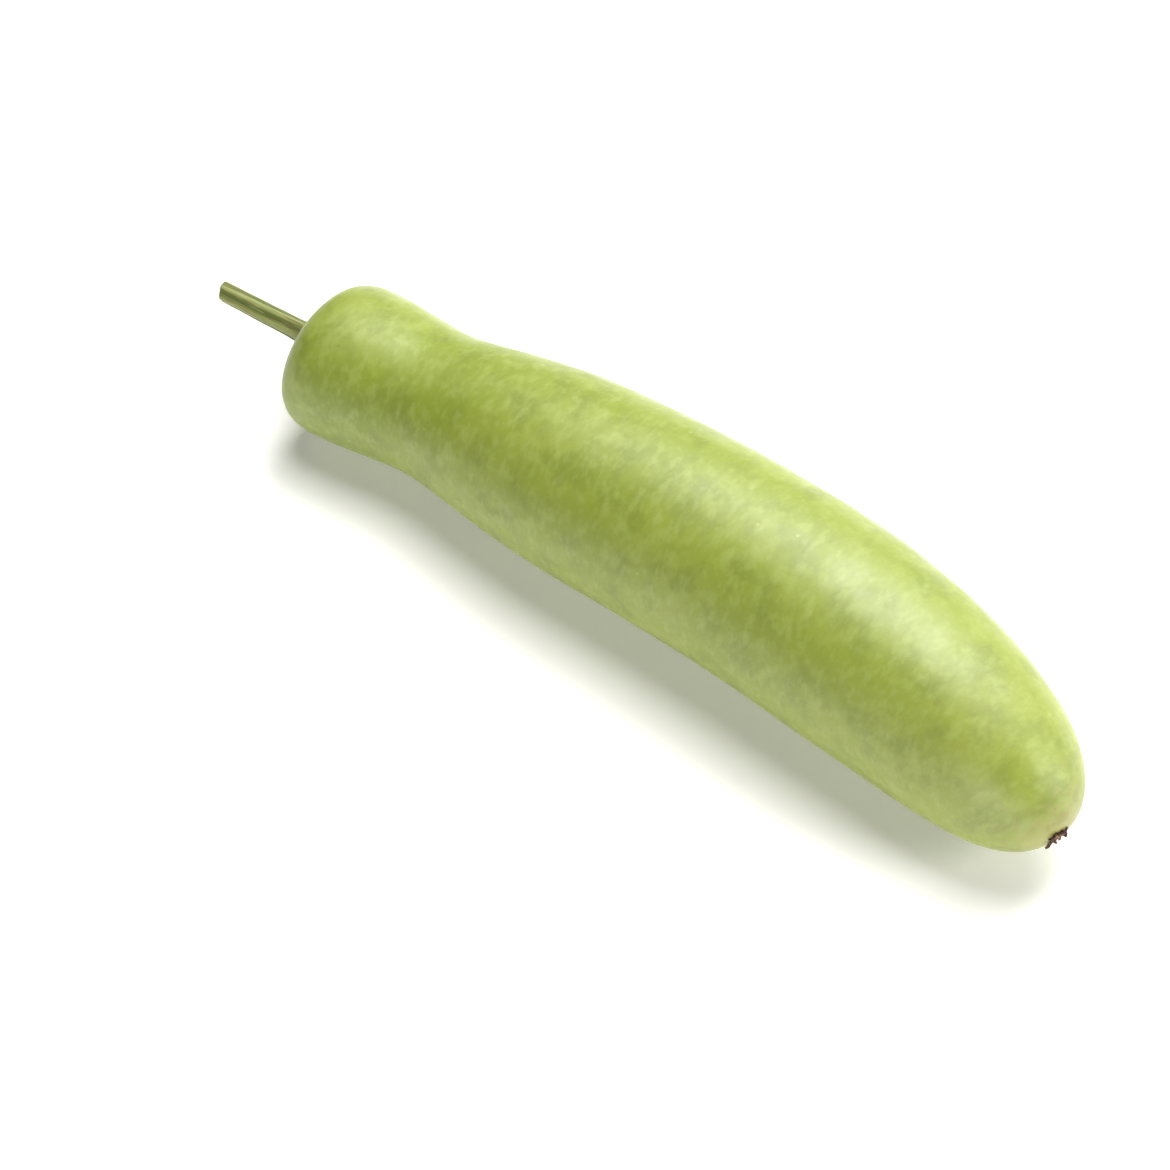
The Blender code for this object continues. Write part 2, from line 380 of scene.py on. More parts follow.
def grown(start, tree, values, name):
    """The plain mesh object that the tree makes from the start object, which is removed."""
    modifier = start.modifiers.new(tree.name, "NODES")
    modifier.node_group = tree
    for item in tree.interface.items_tree:
        if item.name in values:
            modifier[item.identifier] = values[item.name]
    bpy.context.view_layer.update()
    graph = bpy.context.evaluated_depsgraph_get()
    mesh = bpy.data.meshes.new_from_object(start.evaluated_get(graph), depsgraph=graph)
    bpy.data.objects.remove(start, do_unlink=True)

    # Set Material can leave an empty slot before its own
    while mesh.materials[0] is None:
        mesh.materials.pop(index=0)
    mesh.name = name
    return new_object(name, mesh)


def turned_grid(tree, given):
    """A flat grid to be wrapped: the grid, and for each point its place on the outline and its angle."""
    grid = add(
        tree,
        "GeometryNodeMeshGrid",
        {"Size X": 1, "Size Y": 1, "Vertices X": given["Rings"], "Vertices Y": given["Sides"]},
    )
    x, y, _ = add(tree, "ShaderNodeSeparateXYZ", {0: add(tree, "GeometryNodeInputPosition")}).outputs
    share = add(tree, "ShaderNodeMath", {0: x, 1: 0.5})
    around = add(tree, "ShaderNodeMath", {0: y, 1: -math.tau}, operation="MULTIPLY")
    sample = add(
        tree,
        "GeometryNodeSampleCurve",
        {"Curves": given["Geometry"], "Factor": share},
        mode="FACTOR",
    )
    return grid, sample.outputs["Position"], around


def on_circle(tree, angle):
    """The point at an angle on a circle of radius 1 round Z."""
    cosine = add(tree, "ShaderNodeMath", {0: angle}, operation="COSINE")
    sine = add(tree, "ShaderNodeMath", {0: angle}, operation="SINE")
    return add(tree, "ShaderNodeCombineXYZ", {0: cosine, 1: sine})


def moved(tree, place, direction, length):
    """The place, moved by a length along a direction."""
    step = add(tree, "ShaderNodeVectorMath", {0: direction, "Scale": length}, operation="SCALE")
    return add(tree, "ShaderNodeVectorMath", {0: place, 1: step})


def bell(tree, value, middle, width):
    """A bell curve: 1 where the value is at the middle, and almost 0 at two widths from it."""
    off = add(tree, "ShaderNodeMath", {0: value, 1: middle}, operation="SUBTRACT")
    off = add(tree, "ShaderNodeMath", {0: off, 1: width}, operation="DIVIDE")
    off = add(tree, "ShaderNodeMath", {0: off, 1: 2.0}, operation="POWER")
    off = add(tree, "ShaderNodeMath", {0: off, 1: -1.0}, operation="MULTIPLY")
    return add(tree, "ShaderNodeMath", {0: off}, operation="EXPONENT")


def unevenness(tree, place, seed, scale, detail, height):
    """Noise about zero, with a height from its lowest to its highest."""
    field = add(
        tree,
        "ShaderNodeTexNoise",
        {"Vector": place, "W": seed, "Scale": scale, "Detail": detail},
        noise_dimensions="4D",
    )
    centred = add(tree, "ShaderNodeMath", {0: field, 1: 0.5}, operation="SUBTRACT")
    return add(tree, "ShaderNodeMath", {0: centred, 1: height}, operation="MULTIPLY")


def wrapped(tree, grid, stored, place, material):
    """The grid with its values stored, moved to its place, closed along its seam and at its ends."""
    mesh = grid
    for label, (value, kind) in stored.items():
        mesh = add(
            tree,
            "GeometryNodeStoreNamedAttribute",
            {"Geometry": mesh, "Name": label, "Value": value},
            data_type=kind,
            domain="POINT",
        )
    mesh = add(tree, "GeometryNodeSetPosition", {"Geometry": mesh, "Position": place})
    mesh = add(tree, "GeometryNodeMergeByDistance", {"Geometry": mesh, "Distance": TINY})
    mesh = add(tree, "GeometryNodeSetShadeSmooth", {"Geometry": mesh})
    mesh = add(tree, "GeometryNodeRealizeInstances", {"Geometry": mesh})
    return add(tree, "GeometryNodeSetMaterial", {"Geometry": mesh, "Material": material})


def fruit_tree(sizes):
    """Wraps the fruit's outline round its spine, with a leaning crown and slight unevenness."""
    tree, given = new_tree("fruit_grown_on_its_spine", sizes)
    grid, on_outline, around = turned_grid(tree, given)
    distance, radius, _ = add(tree, "ShaderNodeSeparateXYZ", {0: on_outline}).outputs
    circle = on_circle(tree, around)
    section = add(tree, "ShaderNodeVectorMath", {0: circle, "Scale": radius}, operation="SCALE")
    depth = add(tree, "ShaderNodeCombineXYZ", {2: distance})
    unbent = add(tree, "ShaderNodeVectorMath", {0: section, 1: depth})

    # Broad swellings and small dimples, which fade out at the ends
    bumps = []
    for width, height in (("Swell width", "Swell"), ("Dimple width", "Dimple")):
        scale = add(tree, "ShaderNodeMath", {0: 1.0, 1: given[width]}, operation="DIVIDE")
        bumps.append(unevenness(tree, unbent, given["Seed"], scale, 1.0, given[height]))
    bump = add(tree, "ShaderNodeMath", {0: bumps[0], 1: bumps[1]})
    blunt = add(
        tree, "ShaderNodeMath", {0: radius, 1: EVEN_BELOW_RADIUS}, operation="DIVIDE", use_clamp=True
    )
    bump = add(tree, "ShaderNodeMath", {0: bump, 1: blunt}, operation="MULTIPLY")
    section = moved(tree, section, circle, bump)

    # The spine, and the section's directions on it
    spine = add(
        tree,
        "GeometryNodeCurvePrimitiveBezierSegment",
        {
            "Resolution": SPINE_POINTS - 1,
            "Start": given["Stem end"],
            "Start Handle": given["Stem handle"],
            "End Handle": given["Blossom handle"],
            "End": given["Blossom end"],
        },
        mode="POSITION",
    )
    on_spine = add(tree, "GeometryNodeSampleCurve", {"Curves": spine, "Length": distance}, mode="LENGTH")
    along = on_spine.outputs["Tangent"]
    side = add(tree, "ShaderNodeVectorMath", {0: (0, 0, 1), 1: along}, operation="CROSS_PRODUCT")
    side = add(tree, "ShaderNodeVectorMath", {0: side}, operation="NORMALIZE")
    up = add(tree, "ShaderNodeVectorMath", {0: along, 1: side}, operation="CROSS_PRODUCT")
    x, y, _ = add(tree, "ShaderNodeSeparateXYZ", {0: section}).outputs
    place = moved(tree, on_spine.outputs["Position"], side, x)
    place = moved(tree, place, up, y)

    # The crown's end face leans, and the lean fades out towards the neck
    fade = add(tree, "ShaderNodeMath", {0: distance, 1: given["Lean length"]}, operation="DIVIDE")
    fade = add(tree, "ShaderNodeMath", {0: 1.0, 1: fade}, operation="SUBTRACT", use_clamp=True)
    fade = add(tree, "ShaderNodeMath", {0: fade, 1: 2.0}, operation="POWER")
    turn = add(tree, "ShaderNodeMath", {0: around, 1: given["Lean towards"]}, operation="SUBTRACT")
    lean = add(tree, "ShaderNodeMath", {0: turn}, operation="COSINE")
    for factor in (radius, fade, given["Lean"]):
        lean = add(tree, "ShaderNodeMath", {0: lean, 1: factor}, operation="MULTIPLY")
    place = moved(tree, place, along, lean)

    # Round the stem the skin rises in a collar, with folds that run outwards from it
    away = add(tree, "ShaderNodeVectorMath", {0: section, 1: given["Stem centre"]}, operation="SUBTRACT")
    reach = add(tree, "ShaderNodeVectorMath", {0: away}, operation="LENGTH").outputs["Value"]
    collar = bell(tree, reach, 0.0, given["Collar width"])
    collar = add(tree, "ShaderNodeMath", {0: collar, 1: given["Collar height"]}, operation="MULTIPLY")
    x, y, _ = add(tree, "ShaderNodeSeparateXYZ", {0: away}).outputs
    fold = add(tree, "ShaderNodeMath", {0: y, 1: x}, operation="ARCTAN2")
    fold = add(tree, "ShaderNodeMath", {0: fold, 1: given["Folds"]}, operation="MULTIPLY")
    fold = add(tree, "ShaderNodeMath", {0: fold}, operation="COSINE")
    for factor in (bell(tree, reach, given["Fold reach"], given["Fold spread"]), given["Fold depth"]):
        fold = add(tree, "ShaderNodeMath", {0: fold, 1: factor}, operation="MULTIPLY")
    rise = add(tree, "ShaderNodeMath", {0: collar, 1: fold})
    crown = add(tree, "ShaderNodeMath", {0: distance, 1: STEM_END_BLUNTNESS}, operation="LESS_THAN")
    for factor in (crown, -1.0):
        rise = add(tree, "ShaderNodeMath", {0: rise, 1: factor}, operation="MULTIPLY")
    place = moved(tree, place, along, rise)

    # Where it rests it is flat
    x, y, z = add(tree, "ShaderNodeSeparateXYZ", {0: place}).outputs
    height = add(tree, "ShaderNodeMath", {0: z, 1: 0.0, 2: GROUND_EASE}, operation="SMOOTH_MAX")
    place = add(tree, "ShaderNodeCombineXYZ", {0: x, 1: y, 2: height})
    stored = {"grown": (unbent, "FLOAT_VECTOR")}
    add(tree, "NodeGroupOutput", {0: wrapped(tree, grid, stored, place, given["Skin"])})
    return tree


def make_fruit(skin):
    """The fruit in one piece."""
    length = spine_line()[1][-1]
    pulls = [(0, 0), (0, STEM_END_BLUNTNESS), *OUTLINE_PULLS, (length, BLOSSOM_END_BLUNTNESS), (length, 0)]
    sizes = {
        "Rings": FRUIT_RINGS,
        "Sides": FRUIT_SIDES + 1,
        "Stem end": SPINE[0],
        "Stem handle": SPINE[1],
        "Blossom handle": SPINE[2],
        "Blossom end": SPINE[3],
        "Lean": LEAN,
        "Lean towards": LEAN_TOWARDS,
        "Lean length": LEAN_LENGTH,
        "Swell": SWELL,
        "Swell width": SWELL_WIDTH,
        "Dimple": DIMPLE,
        "Dimple width": DIMPLE_WIDTH,
        "Stem centre": stem_centre(),
        "Collar height": COLLAR_HEIGHT,
        "Collar width": COLLAR_WIDTH,
        "Folds": float(FOLDS),
        "Fold depth": FOLD_DEPTH,
        "Fold reach": FOLD_REACH,
        "Fold spread": FOLD_SPREAD,
        "Seed": FRUIT_SEED,
        "Skin": skin,
    }
    fruit = grown(outline_curve("fruit_outline", "NURBS", pulls), fruit_tree(sizes), sizes, "gourd_fruit")
    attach(fruit, "root")
    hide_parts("fruit")
    return fruit


def stem_tree(sizes):
    """Turns the stem's outline about Z, with twisted ribs, fine grooves and a slanting cut."""
    tree, given = new_tree("ribbed_stem", sizes)
    grid, on_outline, around = turned_grid(tree, given)
    height, radius, _ = add(tree, "ShaderNodeSeparateXYZ", {0: on_outline}).outputs

    # Ribs are narrower than the furrows between them, and turn a little up the stem
    share = add(tree, "ShaderNodeMath", {0: height, 1: given["Length"]}, operation="DIVIDE", use_clamp=True)
    twist = add(tree, "ShaderNodeMath", {0: share, 1: given["Twist"]}, operation="MULTIPLY")
    turn = add(tree, "ShaderNodeMath", {0: around, 1: twist})
    turn = add(tree, "ShaderNodeMath", {0: turn, 1: given["Rib turn"]})
    turn = add(tree, "ShaderNodeMath", {0: turn, 1: given["Ribs"]}, operation="MULTIPLY")
    wave = add(tree, "ShaderNodeMath", {0: turn}, operation="COSINE")
    ridge = add(tree, "ShaderNodeMapRange", {"Value": wave, "From Min": -1.0, "From Max": 1.0})
    ridge = add(tree, "ShaderNodeMath", {0: ridge, 1: RIB_SHARPNESS}, operation="POWER")
    rib = add(tree, "ShaderNodeMapRange", {"Value": ridge, "To Min": -1.0, "To Max": 1.0})
    rib = add(tree, "ShaderNodeMath", {0: rib, 1: given["Rib height"]}, operation="MULTIPLY")
    widen = add(tree, "ShaderNodeMath", {0: rib, 1: 1.0})
    wide = add(tree, "ShaderNodeMath", {0: radius, 1: widen}, operation="MULTIPLY")
    circle = on_circle(tree, around)
    straight = moved(tree, add(tree, "ShaderNodeCombineXYZ", {2: height}), circle, wide)

    # Fine grooves run along it: noise that is stretched up the stem
    scale = add(tree, "ShaderNodeMath", {0: 1.0, 1: given["Groove width"]}, operation="DIVIDE")
    narrow = (1.0, 1.0, 1 / GROOVE_STRETCH)
    narrow = add(tree, "ShaderNodeVectorMath", {0: narrow, "Scale": scale}, operation="SCALE")
    along = add(tree, "ShaderNodeVectorMath", {0: straight, 1: narrow}, operation="MULTIPLY")
    groove = unevenness(tree, along, given["Seed"], 1.0, 2.0, given["Groove depth"])
    place = moved(tree, straight, circle, groove)

    # The cut slants along X, and the slant fades out down the stem
    x, _, _ = add(tree, "ShaderNodeSeparateXYZ", {0: place}).outputs
    slant = add(tree, "ShaderNodeMath", {0: share, 1: SLANT_FADE}, operation="POWER")
    for factor in (x, given["Slant"]):
        slant = add(tree, "ShaderNodeMath", {0: slant, 1: factor}, operation="MULTIPLY")
    place = moved(tree, place, (0, 0, 1), slant)

    # The cut face is what lies inside the rim at the stem's end
    rim = add(tree, "ShaderNodeMath", {0: STEM_END_RADIUS, 1: given["Rim"]}, operation="SUBTRACT")
    inside = add(tree, "ShaderNodeMath", {0: radius, 1: rim}, operation="LESS_THAN")
    end = add(tree, "ShaderNodeMath", {0: share, 1: CUT_ABOVE_SHARE}, operation="GREATER_THAN")
    cut = add(tree, "ShaderNodeMath", {0: inside, 1: end}, operation="MULTIPLY")
    stored = {"grown": (straight, "FLOAT_VECTOR"), "ridge": (ridge, "FLOAT"), "cut": (cut, "FLOAT")}
    mesh = wrapped(tree, grid, stored, place, given["Stalk"])
    on_cut = add(tree, "GeometryNodeInputNamedAttribute", {"Name": "cut"}, data_type="FLOAT")
    on_cut = add(tree, "ShaderNodeMath", {0: on_cut, 1: 0.5}, operation="GREATER_THAN")
    mesh = add(
        tree,
        "GeometryNodeSetMaterial",
        {"Geometry": mesh, "Selection": on_cut, "Material": given["Cut"]},
    )
    add(tree, "NodeGroupOutput", {0: mesh})
    return tree


def make_stem(stalk, cut):
    """The stem: a tapered stalk that widens where it joins the fruit, and is cut off at its end."""
    low = np.linspace(-STEM_SUNK, STEM_FLARE_HEIGHT, STEM_OUTLINE_STEPS)
    high = np.linspace(STEM_FLARE_HEIGHT, STEM_LENGTH - CUT_RIM / 2, STEM_OUTLINE_STEPS)
    heights = np.concatenate([low, high[1:]])
    taper = np.interp(heights, (0, STEM_LENGTH), (STEM_BASE_RADIUS, STEM_END_RADIUS))
    above = heights.clip(0, None)
    flare = STEM_FLARE * np.exp(-above / STEM_FLARE_HEIGHT) + STEM_FOOT * np.exp(-above / STEM_FOOT_HEIGHT)
    end = [
        (STEM_LENGTH, STEM_END_RADIUS - CUT_RIM / 2),
        (STEM_LENGTH, PITH_RADIUS * 1.25),
        (STEM_LENGTH - PITH_DEPTH, PITH_RADIUS * 0.8),
        (STEM_LENGTH - PITH_DEPTH, 0),
    ]
    outline = [(-STEM_SUNK, 0), *zip(heights, taper + flare), *end]
    sizes = {
        "Rings": STEM_RINGS,
        "Sides": STEM_SIDES + 1,
        "Length": STEM_LENGTH,
        "Ribs": float(RIBS),
        "Rib height": RIB_HEIGHT,
        "Rib turn": RIB_TURN,
        "Twist": STEM_TWIST,
        "Groove depth": GROOVE_DEPTH,
        "Groove width": GROOVE_WIDTH,
        "Slant": STEM_SLANT,
        "Rim": CUT_RIM,
        "Seed": STEM_SEED,
        "Stalk": stalk,
        "Cut": cut,
    }
    stem = grown(outline_curve("stem_outline", "POLY", outline), stem_tree(sizes), sizes, "gourd_stem")
    stem.data.transform(stem_placement())
    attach(stem, "root")
    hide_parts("stem")
    return stem


def withered_strip():
    """One shrivelled petal, curled and tapered, which stands on the origin along +Z."""
    build = bmesh.new()
    rows = []
    spot, heading = Vector((0, 0, -0.2 * PETAL_LENGTH)), 0.0
    for number in range(PETAL_STEPS + 1):
        share = number / PETAL_STEPS
        width = PETAL_WIDTH * (0.55 + 0.45 * math.sin(math.pi * min(1, share + 0.25)))
        across = Vector((0, width / 2, 0))
        thick = Vector((math.cos(heading), 0, -math.sin(heading))) * PETAL_THICKNESS / 2
        corners = (-across, -thick * 1.6, across, thick * 0.4)
        rows.append([build.verts.new(spot + corner) for corner in corners])
        heading += PETAL_CURL / PETAL_STEPS
        spot = spot + Vector((math.sin(heading), 0, math.cos(heading))) * PETAL_LENGTH / PETAL_STEPS
    for lower, upper in zip(rows, rows[1:]):
        for number in range(4):
            following = (number + 1) % 4
            build.faces.new((lower[number], lower[following], upper[following], upper[number]))
    build.faces.new(rows[0])
    build.faces.new(rows[-1])
    bmesh.ops.recalc_face_normals(build, faces=build.faces)
    mesh = bpy.data.meshes.new("withered_strip")
    build.to_mesh(mesh)
    build.free()
    return new_object("withered_strip", mesh)


def flower_tree(sizes):
    """Sets the strips on the button in a sunflower's spiral, leaning outwards, and crumples them."""
    tree, given = new_tree("withered_flower", sizes)
    number = add(tree, "GeometryNodeInputIndex")
    angle = add(tree, "ShaderNodeMath", {0: number, 1: GOLDEN_ANGLE}, operation="MULTIPLY")
    share = add(tree, "ShaderNodeMath", {0: number, 1: given["Count"]}, operation="DIVIDE")
    share = add(tree, "ShaderNodeMath", {0: share}, operation="SQRT")
    reach = add(tree, "ShaderNodeMath", {0: share, 1: given["Radius"]}, operation="MULTIPLY")
    spot = add(tree, "ShaderNodeVectorMath", {0: on_circle(tree, angle), "Scale": reach}, operation="SCALE")
    points = add(tree, "GeometryNodePoints", {"Count": given["Count"], "Position": spot})

    # Each strip's lean, swing and size are drawn at random, each draw from its own seed
    back = add(tree, "ShaderNodeMath", {0: given["Swing"], 1: -1.0}, operation="MULTIPLY")
    draws = []
    for least, most in (
        (given["Least lean"], given["Most lean"]),
        (back, given["Swing"]),
        (given["Least size"], given["Most size"]),
    ):
        seed = add(tree, "ShaderNodeMath", {0: given["Seed"], 1: len(draws)})
        draw = add(tree, "FunctionNodeRandomValue", {2: least, 3: most, "Seed": seed}, data_type="FLOAT")
        draws.append(draw.outputs[1])
    lean, swing, size = draws
    swing = add(tree, "ShaderNodeMath", {0: angle, 1: swing})
    strips = add(
        tree,
        "GeometryNodeInstanceOnPoints",
        {
            "Points": points,
            "Instance": add(tree, "GeometryNodeObjectInfo", {"Object": given["Strip"]}).outputs["Geometry"],
            "Rotation": add(tree, "ShaderNodeCombineXYZ", {1: lean, 2: swing}),
            "Scale": size,
        },
    )
    mesh = add(tree, "GeometryNodeRealizeInstances", {"Geometry": strips})
    mesh = add(tree, "GeometryNodeSubdivideMesh", {"Mesh": mesh, "Level": 2})
    scale = add(tree, "ShaderNodeMath", {0: 1.0, 1: given["Crumple width"]}, operation="DIVIDE")
    crumple = add(tree, "ShaderNodeTexNoise", {"Scale": scale, "Detail": 2.0}).outputs["Color"]
    offset = add(tree, "ShaderNodeVectorMath", {0: crumple, 1: (0.5, 0.5, 0.5)}, operation="SUBTRACT")
    offset = add(tree, "ShaderNodeVectorMath", {0: offset, "Scale": given["Crumple"]}, operation="SCALE")
    mesh = add(tree, "GeometryNodeSetPosition", {"Geometry": mesh, "Offset": offset})
    mesh = add(tree, "GeometryNodeRealizeInstances", {"Geometry": mesh})
    mesh = add(tree, "GeometryNodeSetMaterial", {"Geometry": mesh, "Material": given["Dry"]})
    add(tree, "NodeGroupOutput", {0: mesh})
    return tree


def make_petals(dry):
    """The withered petals on the scar, in one piece."""
    strip = withered_strip()
    sizes = {
        "Strip": strip,
        "Count": PETALS,
        "Radius": PETAL_SPREAD,
        "Least lean": math.radians(5),
        "Most lean": math.radians(70),
        "Swing": math.radians(80),
        "Least size": 0.55,
        "Most size": 1.25,
        "Crumple": CRUMPLE,
        "Crumple width": CRUMPLE_WIDTH,
        "Seed": PETAL_SEED,
        "Dry": dry,
    }
    start = new_object("petals_start", bpy.data.meshes.new("petals_start"))
    petals = grown(start, flower_tree(sizes), sizes, "withered_petals")
    bpy.data.objects.remove(strip, do_unlink=True)
    petals.data.transform(scar_placement())
    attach(petals, "root")
    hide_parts("blossom_scar")
    return petals


def make_scar_button(dry):
    """The corky button under the petals: a low dome with an uneven height and rim."""
    build = bmesh.new()
    bmesh.ops.create_uvsphere(build, u_segments=64, v_segments=32, radius=1)
    for vert in build.verts:
        rough = noise.noise(vert.co * 2.2) * 0.10 + noise.noise(vert.co * 6) * 0.07
        vert.co.x *= SCAR_RADIUS * (1 + rough)
        vert.co.y *= SCAR_RADIUS * (1 + rough)
        vert.co.z = vert.co.z * SCAR_HEIGHT * (1 + 2.5 * rough) - SCAR_SUNK
    mesh = bpy.data.meshes.new("scar_button")
    build.to_mesh(mesh)
    build.free()
    mesh.shade_smooth()
    mesh.materials.append(dry)
    mesh.transform(scar_placement())
    button = new_object("scar_button", mesh)
    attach(button, "root")
    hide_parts("blossom_scar")
    return button


def laid_over(tree, colour, field, start, full, strength, shade, ease="LINEAR"):
    """The colour with a shade over it: none where the field is at start, and its strength at full."""
    share = add(
        tree,
        "ShaderNodeMapRange",
        {"Value": field, "From Min": start, "From Max": full, "To Max": strength},
        interpolation_type=ease,
    )
    layer = add(tree, "ShaderNodeMix", {"Factor": share, 6: colour, 7: linear(shade)}, data_type="RGBA")
    return layer.outputs[2]


def patched(tree, colour, place, shift, width, length, start, full, strength, shade):
    """The colour with patches of a shade over it, a width across and a length along, and their noise."""
    spread = add(
        tree,
        "ShaderNodeMapping",
        {"Vector": place, "Location": (shift, 0, 0), "Scale": (1 / width, 1 / width, 1 / length)},
    )
    field = add(tree, "ShaderNodeTexNoise", {"Vector": spread, "Scale": 1.0, "Detail": 2.0})
    return laid_over(tree, colour, field, start, full, strength, shade), field


def set_stops(ramp, stops):
    """Gives a colour ramp its (position, colour) stops, and returns its colour."""
    elements = ramp.color_ramp.elements
    while len(elements) < len(stops):
        elements.new(0.5)
    for element, (position, shade) in zip(elements, stops):
        element.position = position
        element.color = linear(shade)
    return ramp.outputs["Color"]


def skin_material():
    """Living skin of a young bottle gourd: waxy and finely downy, pale green, mottled and flecked.

    The wax gives a broad soft highlight, broken up where the wax is thinner. The flesh below lets light
    through a little, and the down gives a pale edge.
    """
    material, tree, shader = new_material(
        "waxy_gourd_skin",
        {
            "IOR": 1.5,
            "Coat Weight": 0.45,
            "Coat Roughness": 0.5,
            "Subsurface Weight": 0.25,
            "Subsurface Radius": (1.0, 1.0, 0.4),
            "Subsurface Scale": 3 * MM,
            "Sheen Weight": 0.04,
            "Sheen Roughness": 0.4,
            "Sheen Tint": linear("#eef2d4"),
        },
    )
    place = add(tree, "ShaderNodeAttribute", attribute_name="grown").outputs["Vector"]
    colour = linear(SKIN_GREEN)

    # The zones come first, so that the mottling runs over them
    along = add(tree, "ShaderNodeSeparateXYZ", {0: place}).outputs["Z"]
    for zone in ZONES:
        colour = laid_over(tree, colour, along, *zone, ease="SMOOTHSTEP")

    # Mottling, from broad patches to fine flecks
    for layer in MOTTLE:
        colour, _ = patched(tree, colour, place, *layer)

    # Tan rings round the scar and the stem, and tan blotches, all with ragged edges
    ragged = add(tree, "ShaderNodeTexNoise", {"Vector": place, "Scale": 1 / RAGGED_WIDTH, "Detail": 4.0})
    ragged = add(tree, "ShaderNodeMapRange", {"Value": ragged, "To Min": -0.4, "To Max": 2.4})
    middles = {
        "Blossom end": Vector((0, 0, spine_line()[1][-1])),
        "Stem foot": stem_centre(),
    }
    rings = [(middles[name], *rest) for name, *rest in TAN_RINGS]
    rings += [(spot, radius, radius / 2, BLOTCH_STRENGTH, BLOTCH_COLOUR) for spot, radius in BLOTCHES]
    for middle, *ring in rings:
        away = add(tree, "ShaderNodeVectorMath", {0: place, 1: middle}, operation="DISTANCE")
        away = add(tree, "ShaderNodeMath", {0: away.outputs["Value"], 1: ragged}, operation="MULTIPLY")
        colour = laid_over(tree, colour, away, *ring, ease="SMOOTHSTEP")

    # Corky specks lie here and there
    speck = add(tree, "ShaderNodeTexVoronoi", {"Vector": place, "Scale": 1 / SPECK_SPACING})
    rim = SPECK_RADIUS / SPECK_SPACING
    colour = laid_over(tree, colour, speck.outputs["Distance"], rim, 0.0, SPECK_STRENGTH, SPECK_COLOUR)
    tree.links.new(colour, shader.inputs["Base Color"])

    # The skin is duller where the wax is rubbed thin
    wax = add(tree, "ShaderNodeTexNoise", {"Vector": place, "Scale": 1 / WAX_PATCH_WIDTH, "Detail": 3.0})
    rough = add(
        tree,
        "ShaderNodeMapRange",
        {"Value": wax, "From Min": 0.35, "From Max": 0.65, "To Min": 0.40, "To Max": 0.54},
    )
    tree.links.new(rough.outputs[0], shader.inputs["Roughness"])
    pores = add(tree, "ShaderNodeTexNoise", {"Vector": place, "Scale": 1 / PORE_WIDTH, "Detail": 2.0})
    relief = add(tree, "ShaderNodeBump", {"Height": pores, "Strength": 0.6, "Distance": PORE_DEPTH})
    tree.links.new(relief.outputs[0], shader.inputs["Normal"])
    return material


def stalk_material():
    """Green stalk: matt, ribbed and fibrous. The furrows carry painted shade and the ribs are paler, with
    brownish lines between.
    """
    material, tree, shader = new_material(
        "fibrous_green_stalk",
        {"IOR": 1.45, "Sheen Weight": 0.1, "Sheen Roughness": 0.5, "Sheen Tint": linear("#eeeccf")},
    )
    place = add(tree, "ShaderNodeAttribute", attribute_name="grown").outputs["Vector"]
    ridge = add(tree, "ShaderNodeAttribute", attribute_name="ridge").outputs["Fac"]
    # The colour follows the share of the way up a rib: painted shade darkens the furrows, and the ribs are
    # paler
    colour = set_stops(add(tree, "ShaderNodeValToRGB", {0: ridge}), STALK_COLOURS_AND_FURROW_SHADE)
    for layer in FIBRES:
        colour, field = patched(tree, colour, place, *layer)
    height = add(tree, "ShaderNodeSeparateXYZ", {0: place}).outputs["Z"]
    for end in STALK_ENDS:
        colour = laid_over(tree, colour, height, *end)
    tree.links.new(colour, shader.inputs["Base Color"])
    rough = add(tree, "ShaderNodeMapRange", {"Value": ridge, "To Min": 0.70, "To Max": 0.48})
    tree.links.new(rough.outputs[0], shader.inputs["Roughness"])
    relief = add(tree, "ShaderNodeBump", {"Height": field, "Distance": 0.12 * MM})
    tree.links.new(relief.outputs[0], shader.inputs["Normal"])
    return material


def pith_material():
    """Cut stalk: moist pale pith, a ring of greener bundles, and a rim that has dried brown."""
    material, tree, shader = new_material("cut_stalk_pith", {"Roughness": 0.6})
    place = add(tree, "ShaderNodeAttribute", attribute_name="grown").outputs["Vector"]
    x, y, _ = add(tree, "ShaderNodeSeparateXYZ", {0: place}).outputs
    flat = add(tree, "ShaderNodeCombineXYZ", {0: x, 1: y})
    away = add(tree, "ShaderNodeVectorMath", {0: flat}, operation="LENGTH").outputs["Value"]
    colour = linear(PITH_COLOUR)
    for ring in PITH_RINGS:
        colour = laid_over(tree, colour, away, *ring)
    angle = add(tree, "ShaderNodeMath", {0: y, 1: x}, operation="ARCTAN2")
    wave = add(tree, "ShaderNodeMath", {0: angle, 1: BUNDLES}, operation="MULTIPLY")
    wave = add(tree, "ShaderNodeMath", {0: wave}, operation="COSINE")
    gap = add(tree, "ShaderNodeMath", {0: away, 1: BUNDLE_RING}, operation="SUBTRACT")
    gap = add(tree, "ShaderNodeMath", {0: gap}, operation="ABSOLUTE")
    near = add(
        tree, "ShaderNodeMapRange", {"Value": gap, "From Min": BUNDLE_GONE, "From Max": BUNDLE_FULL}
    )
    bundles = add(tree, "ShaderNodeMath", {0: wave, 1: near}, operation="MULTIPLY")
    colour = laid_over(tree, colour, bundles, 0.0, 1.0, 1.0, BUNDLE_COLOUR)
    tree.links.new(colour, shader.inputs["Base Color"])
    grain = add(tree, "ShaderNodeTexNoise", {"Vector": place, "Scale": 1 / (0.5 * MM), "Detail": 3.0})
    relief = add(tree, "ShaderNodeBump", {"Height": grain, "Distance": 0.15 * MM})
    tree.links.new(relief.outputs[0], shader.inputs["Normal"])
    return material


